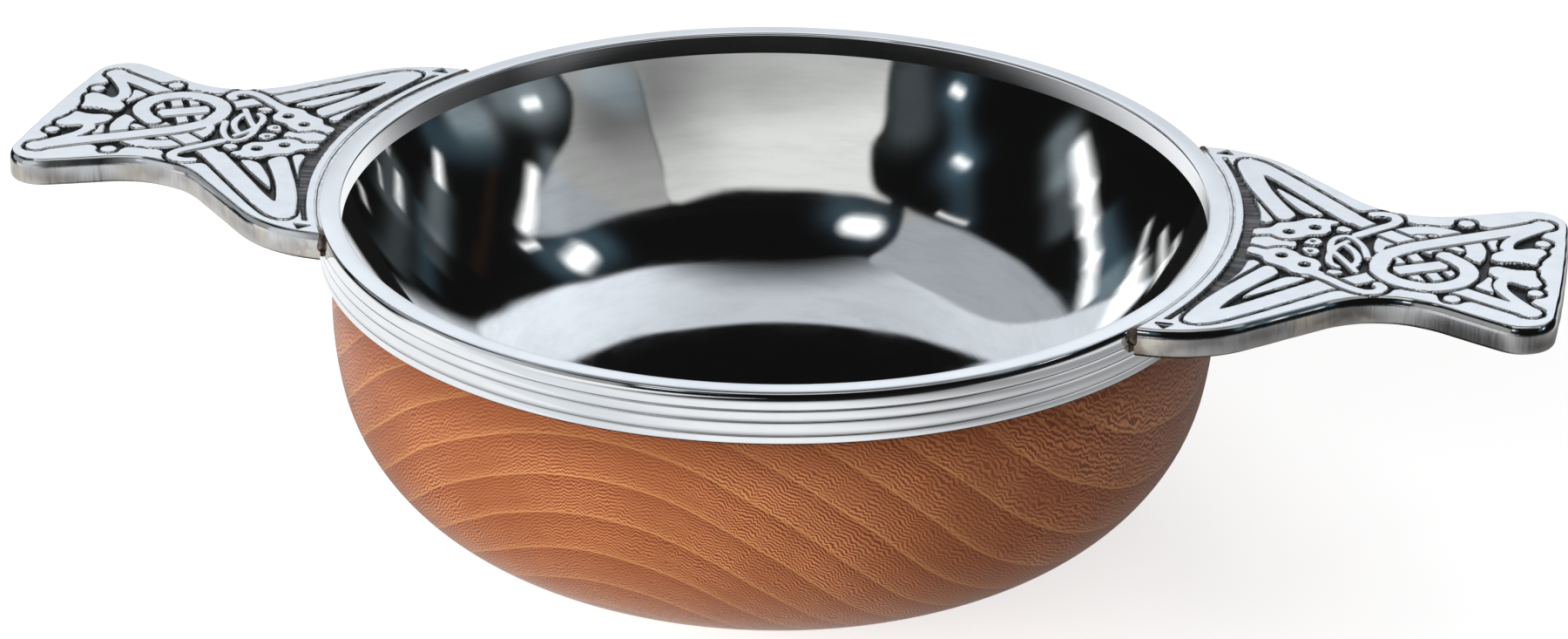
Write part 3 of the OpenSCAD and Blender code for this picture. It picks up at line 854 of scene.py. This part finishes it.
def cast_lugs(material):
    lug = lug_blank()
    cut(lug, "INTERSECT", relief_slab())
    root = built_in(bpy.ops.mesh.primitive_cylinder_add, vertices=360, radius=LUG_ROOT * MM, depth=20 * MM,
                    location=(0, 0, LUG_TOP * MM))
    cut(lug, "DIFFERENCE", root)
    mark_finish(lug)
    root_line = Matrix.Translation((RING_RADIUS * MM, 0, LUG_TOP * MM))
    lug.data.transform(root_line @ Matrix.Rotation(-radians(LUG_RISE), 4, "Y") @ root_line.inverted())
    lug.name = "cast_lug_right"
    other = new_object("cast_lug_left", lug.data.copy())
    other.data.transform(turn_about_axis(pi))
    finish_piece(lug, "right_lug", material, 50)
    finish_piece(other, "left_lug", material, 50)


# Solder seams

SEAM_HALF = 28.3          # half the length of a seam
SEAM_SECTION = [
    (57.0, 49.6), (57.4, 49.64), (57.89, 49.84), (57.89, 46.8), (57.5, 46.7), (57.5, 47.8), (57.35, 49.0)]


def solder_lump(middle):
    """An uneven drop of solder."""
    size, dent, dent_size = 0.75, 0.5, 1 / 900
    lump = built_in(bpy.ops.mesh.primitive_ico_sphere_add, subdivisions=4, radius=size * MM, location=middle)
    lump.scale = (0.7, 0.9, 1.5)
    pick(lump)
    bpy.ops.object.transform_apply(location=True, rotation=True, scale=True)
    for vertex in lump.data.vertices:
        vertex.co += (vertex.co - middle) * (noise.noise(vertex.co / dent_size) * dent)
    return lump


def solder_seam(name, node, turn, material):
    """Solder that fills the joint between ring and lug, with a lump where the iron left it at each end."""
    reach, lump_radius, lump_height = asin(SEAM_HALF / LUG_ROOT), RING_RADIUS + 0.1, 48.5
    corners = [turn_about_axis(reach, 3) @ Vector((r * MM, 0, z * MM)) for r, z in SEAM_SECTION]
    seam = new_piece(name, corners, faces=[tuple(range(len(corners)))])
    edit_all(seam)
    spin(120, 2 * reach)
    bpy.ops.mesh.fill_holes(sides=0)
    mode("OBJECT")
    for end in (-reach, reach):
        lump = solder_lump(Vector((*on_circle((0, 0), lump_radius, degrees(end)), lump_height)) * MM)
        pick(seam, lump)
        bpy.ops.object.join()
    edit_all(seam)
    face_outward()
    seam.data.transform(turn_about_axis(turn))
    finish_piece(seam, node, material, 40)


# Studio. Its lights are laid out on a flat picture, with overhead in the middle and the front below.

MAP_MIDDLE, MAP_SCALE = 450, 4.5      # units, and units to a degree


def studio_direction(x, y):
    """Direction for a place on the flat picture of the studio."""
    across, along = (x - MAP_MIDDLE) / MAP_SCALE, (MAP_MIDDLE - y) / MAP_SCALE
    tilt = np.radians(np.hypot(across, along))
    turn = np.arctan2(along, across) + VIEW_TURN
    return np.stack([np.sin(tilt) * np.cos(turn), np.sin(tilt) * np.sin(turn), np.cos(tilt)], -1)


BACK_BOX = [
    (586, 124), (603, 150), (613, 200), (616, 252), (606, 305), (588, 342), (560, 384), (528, 410),
    (481, 427), (430, 432), (383, 428), (360, 404), (330, 350), (314, 300), (298, 240), (282, 190),
    (276, 140), (285, 90), (326, 90), (328, 200), (338, 255), (358, 298), (385, 325), (415, 342),
    (450, 348), (480, 342), (510, 325), (540, 295), (558, 250), (566, 195), (566, 90)]
SIDE_BOX = [
    (331, 469), (308, 435), (287, 398), (272, 350), (265, 301), (266, 250), (274, 207), (299, 133),
    (312, 133), (320, 300), (345, 370), (372, 414), (357, 427), (344, 438)]
BACKDROP = [(335, 20), (322, 192), (578, 192), (565, 20)]
FRONT_BOX = [
    (345, 482), (375, 503), (410, 514), (450, 519), (500, 511), (545, 484), (560, 520), (575, 548),
    (600, 600), (625, 640), (540, 668), (450, 674), (370, 668), (316, 652), (326, 615), (338, 572),
    (352, 556), (358, 532), (357, 505)]
GREY_BOARD = [
    (545, 484), (590, 440), (615, 395), (640, 355), (650, 380), (655, 440), (652, 500), (665, 545),
    (700, 560), (705, 600), (625, 640), (600, 600), (575, 548), (560, 520)]
LOW_BOARD = [
    (270, 690), (225, 640), (190, 580), (160, 515), (138, 440), (125, 350), (122, 270), (60, 300), (48, 430),
    (70, 560), (130, 690), (215, 780)]
# Lamps, and glows by tint (blue, grey, brown): both ends, half width, blur and strength
LAMPS = [
    (366, 458, 381, 466, 5, 14, 3.5), (272, 483, 277, 494, 1, 10, 2.6), (251, 563, 257, 573, 1, 10, 2.6),
    (305, 446, 287, 416, 0, 5, 2.0), (179, 390, 199, 334, 4, 13, 2.4), (199, 334, 218, 286, 3, 11, 2.4),
    (218, 286, 240, 234, 2, 9, 2.2), (240, 234, 272, 178, 2, 8, 2.2), (602, 374, 605, 354, 4, 14, 3.5),
    (649, 353, 667, 429, 2, 11, 2.6), (641, 330, 636, 344, 1, 7, 2.2), (710, 302, 727, 325, 1, 8, 2.4),
    (701, 490, 693, 502, 1, 10, 2.6), (669, 126, 684, 138, 0, 5, 1.5), (693, 201, 718, 235, 0, 6, 2.0),
    (735, 240, 748, 262, 0, 4, 1.2), (701, 186, 720, 206, 0, 3, 1.4), (216, 189, 247, 156, 0, 6, 1.6),
    (247, 156, 263, 138, 1, 8, 2.2), (263, 138, 298, 97, 4, 11, 2.4), (233, 145, 275, 93, 0, 5, 1.8),
    (275, 93, 312, 55, 1, 6, 2.0), (257, 103, 309, 49, 0, 5, 1.6), (301, 50, 323, 32, 0, 4, 1.2),
    (330, 728, 292, 716, 8, 12, 2.4), (772, 548, 768, 590, 6, 12, 2.0)]
GLOWS = {
    (0.34, 0.62, 0.82): [
        (366, 460, 386, 485, 6, 12, 0.10), (274, 489, 254, 568, 2, 8, 0.09),
        (274, 489, 289, 419, 2, 8, 0.06), (274, 489, 274, 489, 6, 12, 0.10),
        (254, 568, 254, 568, 6, 12, 0.10), (215, 270, 263, 161, 4, 7, 0.13),
        (598, 392, 615, 345, 6, 12, 0.12), (740, 340, 718, 401, 5, 10, 0.08),
        (695, 237, 629, 136, 0, 4, 0.06), (620, 585, 646, 575, 6, 14, 0.22),
        (752, 520, 730, 640, 8, 14, 0.16), (300, 740, 370, 745, 8, 14, 0.14)],
    (0.78, 0.95, 1.02): [
        (300, 610, 311, 559, 6, 14, 0.07), (184, 419, 200, 380, 5, 9, 0.20),
        (200, 380, 226, 318, 3, 8, 0.08), (260, 181, 296, 108, 6, 8, 0.16),
        (657, 458, 634, 387, 3, 8, 0.13), (697, 496, 697, 496, 6, 12, 0.14),
        (742, 393, 729, 423, 5, 11, 0.28), (725, 471, 691, 522, 6, 12, 0.20),
        (708, 295, 675, 227, 1, 6, 0.14), (675, 227, 654, 186, 0, 5, 0.05),
        (727, 238, 691, 186, 3, 7, 0.07), (687, 192, 625, 98, 0, 6, 0.05)],
    (0.95, 0.42, 0.22): [
        (695, 386, 647, 241, 0, 4, 0.010)]}
DIM_SPOTS = [((585, 592), 42, 0.62), ((628, 540), 30, 0.5), ((470, 640), 26, 0.15)]


def soft_panel(flat, outline, edge):
    """A light panel with rounded corners and a soft edge."""
    return smoothstep(edge, -edge, shape_distance(flat, smooth_path(outline + outline[:1], 4)[:-1]))


def panel_light(flat):
    """Brightness of the soft boxes and boards at each place of the studio's picture."""
    across, along = flat.T
    back = soft_panel(flat, BACK_BOX, 3) * np.maximum(smoothstep(438, 375, along), 0.04)
    back *= 0.66 + 0.36 * smoothstep(480, 610, across) + 0.14 * smoothstep(360, 310, across)
    side = soft_panel(flat, SIDE_BOX, 3) * 0.44
    drop = soft_panel(flat, BACKDROP, 12) * (0.78 + 0.22 * smoothstep(136, 168, along))
    front = soft_panel(flat, FRONT_BOX, 5)
    front *= 0.87 - 0.30 * smoothstep(570, 640, along) - 0.14 * smoothstep(460, 560, across)
    board = soft_panel(flat, GREY_BOARD, 4) * 0.42
    low = soft_panel(flat, LOW_BOARD, 14) * 0.34
    for place, size, amount in DIM_SPOTS:
        dim = 1 - amount * np.exp(-((flat - place) ** 2).sum(1) / (2 * size ** 2))
        front, board = front * dim, board * dim
    return np.maximum.reduce([back, side, drop, front, board, low])


def studio_light(flat):
    """Colour of the studio at each place of its picture: panels, faint glows between them, and lamps."""
    cool, warm, darkest = (0.94, 1.0, 1.07), (1.0, 1.005, 0.98), 0.006
    white = panel_light(flat)[:, None]
    light = white * np.where(flat[:, 1:] < MAP_MIDDLE, cool, warm) + darkest
    for tint, glows in GLOWS.items():
        for *ends, size, blur, strength in glows:
            off = np.maximum(path_distance(flat, np.reshape(ends, (2, 2))) - size, 0)
            glow = np.exp(-off ** 2 / (2 * blur ** 2)) * strength
            light += glow[:, None] * np.array(tint) * (1 - white)
    for *ends, size, blur, strength in LAMPS:
        near = path_distance(flat, np.reshape(ends, (2, 2)))
        light += (smoothstep(size + blur, size - blur, near) * strength)[:, None]
    return light


def mirrors_only(piece):
    """Shows a stage piece in reflections and nowhere else."""
    piece.visible_camera = piece.visible_diffuse = piece.visible_shadow = piece.visible_transmission = False


def studio_dome():
    """Soft boxes, a backdrop and lamps on a big dome."""
    rings, spokes, radius, lowest = 300, 600, 30.0, 100
    tilt = np.linspace(0, lowest * MAP_SCALE, rings + 1)[1:]
    turn = np.linspace(0, 2 * pi, spokes, endpoint=False)
    ring = np.stack([np.cos(turn), np.sin(turn)], -1)
    flat = np.vstack([np.zeros((1, 2)), (tilt[:, None, None] * ring).reshape(-1, 2)]) + MAP_MIDDLE
    steps = [(i, (i + 1) % spokes) for i in range(spokes)]
    faces = [(0, 1 + i, 1 + j) for i, j in steps]
    for start in range(1, 1 + (rings - 1) * spokes, spokes):
        below = start + spokes
        faces += [(start + i, below + i, below + j, start + j) for i, j in steps]
    dome = new_piece("studio_dome", (studio_direction(*flat.T) * radius).tolist(), faces=faces)
    light = studio_light(flat)
    colours = dome.data.color_attributes.new("studio", "FLOAT_COLOR", "POINT")
    rgba = np.column_stack([light, np.ones(len(light))]).astype(np.float32)
    colours.data.foreach_set("color", rgba.ravel())
    material, w = bare_material("studio_light")
    w.show(w.emission(Color=w.attribute("studio")["Color"]))
    dome.data.materials.append(material)
    mirrors_only(dome)


def reflector_card():
    """A white card in front of the left lug, out of the picture, that lights up its rounded edge."""
    left, right, low, high, ahead = -0.34, -0.02, 0.001, 0.16, -0.095
    card = built_in(bpy.ops.mesh.primitive_plane_add, size=1.0)
    card.name = "reflector_card"
    middle = Matrix.Translation(((left + right) / 2, ahead, (low + high) / 2))
    size = Matrix.Diagonal((right - left, high - low, 1, 1))
    upright = Matrix.Rotation(radians(90), 4, "X")
    card.data.transform(turn_about_axis(VIEW_TURN) @ middle @ upright @ size)
    material, w = bare_material("white_card")
    x, _, z = w.split(w.mapping(w.place(), turn=SQUARE_ON))
    glow = w.emission(Color=(0.92, 0.96, 1.0), Strength=w.span(z, 0.01, 0.06, 0.92, 0.70))
    foot = w.times(w.fall(x, right - 0.045, right), w.fall(z, 0.018, 0.045))
    sheet = w.times(w.fall(x, -0.19, -0.05), w.fall(z, high - 0.05, high))
    clear = w.add("ShaderNodeBsdfTransparent").outputs[0]
    w.show(w.fill(w.add("ShaderNodeMixShader"), w.math("MAXIMUM", foot, sheet), clear, glow))
    card.data.materials.append(material)
    mirrors_only(card)


def mirrored_table(w):
    """Brightness of the table where the metal mirrors it: dark under the bowl, dim behind it on the right."""
    place = w.mapping(w.place(), turn=SQUARE_ON)
    x, y, _ = w.split(place)
    from_middle = w.vector("LENGTH", place)
    front_left = w.times(w.fall(x, -0.26, -0.12), w.fall(y, -0.02, 0.04))
    lit = w.math("MAXIMUM", w.fall(from_middle, 0.20, 0.34), front_left)
    from_shade = w.vector("LENGTH", w.vector("ADD", place, (0.004, 0.010, 0)))
    lit = w.times(lit, w.span(from_shade, 0.070, 0.118))
    behind = w.times(w.span(y, -0.02, 0.02), w.span(x, 0.0, 0.07, 0.0, 0.85))
    behind = w.times(behind, w.fall(from_middle, 0.125, 0.15))
    lit = w.times(lit, w.math("SUBTRACT", 1.0, behind))
    level = w.math("ADD", w.span(x, 0.02, 0.14, 1.04, 0.36), w.span(x, 0.165, 0.22, 0.0, 0.62))
    return w.math("MAXIMUM", w.times(lit, level), 0.010)


def studio_floor():
    camera_lift = 0.72                # the picture shows the table nearly white
    floor = built_in(bpy.ops.mesh.primitive_plane_add, size=20.0, location=(0, 0, -0.05 * MM))
    floor.name = "floor"
    material, w = bare_material("pale_floor")
    path = w.add("ShaderNodeLightPath").outputs
    paint = w.feed(w.add("ShaderNodeBsdfDiffuse"), Color=(0.80, 0.80, 0.80))[0]
    lift = w.emission(Strength=w.times(path["Is Camera Ray"], camera_lift))
    table = w.fill(w.add("ShaderNodeAddShader"), paint, lift)
    in_metal = w.emission(Color=(0.97, 0.985, 1.0), Strength=mirrored_table(w))
    w.show(w.fill(w.add("ShaderNodeMixShader"), path["Is Glossy Ray"], table, in_metal))
    floor.data.materials.append(material)


def studio_lamp(name, place, size, power):
    lamp = bpy.data.lights.new(name, "AREA")
    lamp.size = size
    lamp.energy = power
    holder = new_object(name, lamp)
    holder.location = turn_about_axis(VIEW_TURN, 3) @ Vector(place)
    aim = Vector((0, 0, 0.03))
    holder.rotation_euler = (aim - holder.location).to_track_quat("-Z", "Y").to_euler()
    holder.visible_glossy = False


def studio_world():
    """White behind the picture, and a little light from all round."""
    all_round = 0.12
    world = bpy.data.worlds.new("studio_world")
    bpy.context.scene.world = world
    world.use_nodes = True
    world.node_tree.nodes.clear()
    w = Wires(world.node_tree)
    path = w.add("ShaderNodeLightPath").outputs
    strength = w.math("ADD", path["Is Camera Ray"], w.times(path["Is Diffuse Ray"], all_round), clamp=True)
    sky = w.feed(w.add("ShaderNodeBackground"), Color=(1, 1, 1), Strength=strength)[0]
    w.feed(w.add("ShaderNodeOutputWorld"), Surface=sky)


def studio():
    studio_dome()
    studio_floor()
    reflector_card()
    studio_lamp("key_lamp", (-1.05, -0.6, 0.36), 0.7, 12)
    studio_lamp("front_lamp", (-0.35, -1.1, 0.5), 0.7, 3.5)
    studio_lamp("top_lamp", (-0.2, 0.3, 1.3), 1.2, 4)
    studio_world()


def photograph_camera():
    """The camera fitted to the rim's circles: distance and height of the eye, then pan, tilt and roll."""
    focal, distance, rise, pan, tilt, roll = 4196.11, 462.07, 23.54, -0.16, -2.07, -0.60
    picture_width, sensor_width = 1800, 36.0
    eye = Vector((0, -distance * cos(radians(rise)), distance * sin(radians(rise))))
    right, look = Vector((1, 0, 0)), -eye.normalized()
    axes = [right, right.cross(look), look]
    for axis, angle in ((1, pan), (0, tilt), (2, roll)):
        lean = Matrix.Rotation(radians(angle), 3, axes[axis])
        axes = [lean @ way for way in axes]
    turn = turn_about_axis(VIEW_TURN, 3)
    right, up, look, eye = [turn @ way for way in (*axes, eye)]
    eye.z += RIM_TOP
    data = bpy.data.cameras.new("photograph")
    data.sensor_width = sensor_width
    data.lens = focal / picture_width * sensor_width
    data.clip_start, data.clip_end = 0.01, 50
    camera = new_object("photograph", data)
    place = Matrix((right, up, -look)).transposed().to_4x4()
    place.translation = eye * MM
    camera.matrix_world = place
    bpy.context.scene.camera = camera


photograph_camera()
studio()
marks = lathe_marks_group()
finish_piece(turned_bowl(), "wooden_bowl", wood_finish(elm_figure_group()))
finish_piece(spun_liner(), "bowl_liner", liner_finish(marks))
finish_piece(reeded_rim(), "rim_ring", rim_finish(marks), 40)
cast_lugs(cast_finish())
solder = solder_finish()
solder_seam("solder_right", "right_solder", 0.0, solder)
solder_seam("solder_left", "left_solder", pi, solder)
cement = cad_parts["liner_cement"]
cement.data.materials.clear()
cement.data.materials.append(cement_finish())
cement.visible_glossy = False   # it lies behind the liner, where no reflection reaches

bpy.context.scene.view_settings.view_transform = "Standard"
